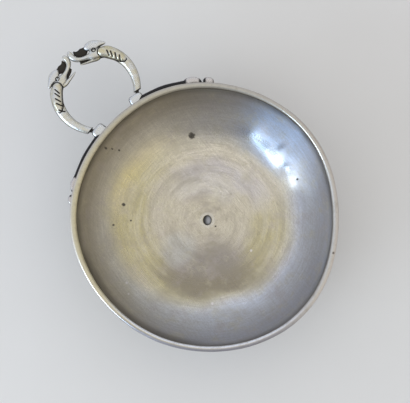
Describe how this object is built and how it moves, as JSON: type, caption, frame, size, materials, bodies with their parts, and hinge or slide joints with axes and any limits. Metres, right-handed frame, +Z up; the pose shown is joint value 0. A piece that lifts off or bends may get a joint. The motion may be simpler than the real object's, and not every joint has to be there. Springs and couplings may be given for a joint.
{
  "type": "tastevin",
  "caption": "Shallow round silver wine-tasting cup with a plain bowl, an applied rim wire and a finger loop of facing serpents under the rim.",
  "frame": {"origin": "on the bowl's axis at its flat base, where it stands on the table", "axes": "+Z up along the bowl's axis, +X from the axis along the middle of the handle, +Y to the left seen from the bowl towards the handle"},
  "size_m": [0.1108, 0.084, 0.026],
  "materials": {
    "bowl_silver": "worn, finely scratched silver with a yellow tarnish",
    "rim_silver": "rubbed bright silver",
    "cast_silver": "cast silver, rubbed bright on top and dark in the crevices",
    "dark_silver": "tarnished silver",
    "rivet_metal": "dull grey metal"
  },
  "bodies": {
    "root": {"bowl": "bowl_silver", "rim_wire": "rim_silver", "centre_rivet": "rivet_metal", "left_boss": "cast_silver", "right_boss": "cast_silver", "left_serpent": "cast_silver", "right_serpent": "cast_silver", "left_tail_scroll": "dark_silver", "right_tail_scroll": "dark_silver"}
  },
  "joints": []
}
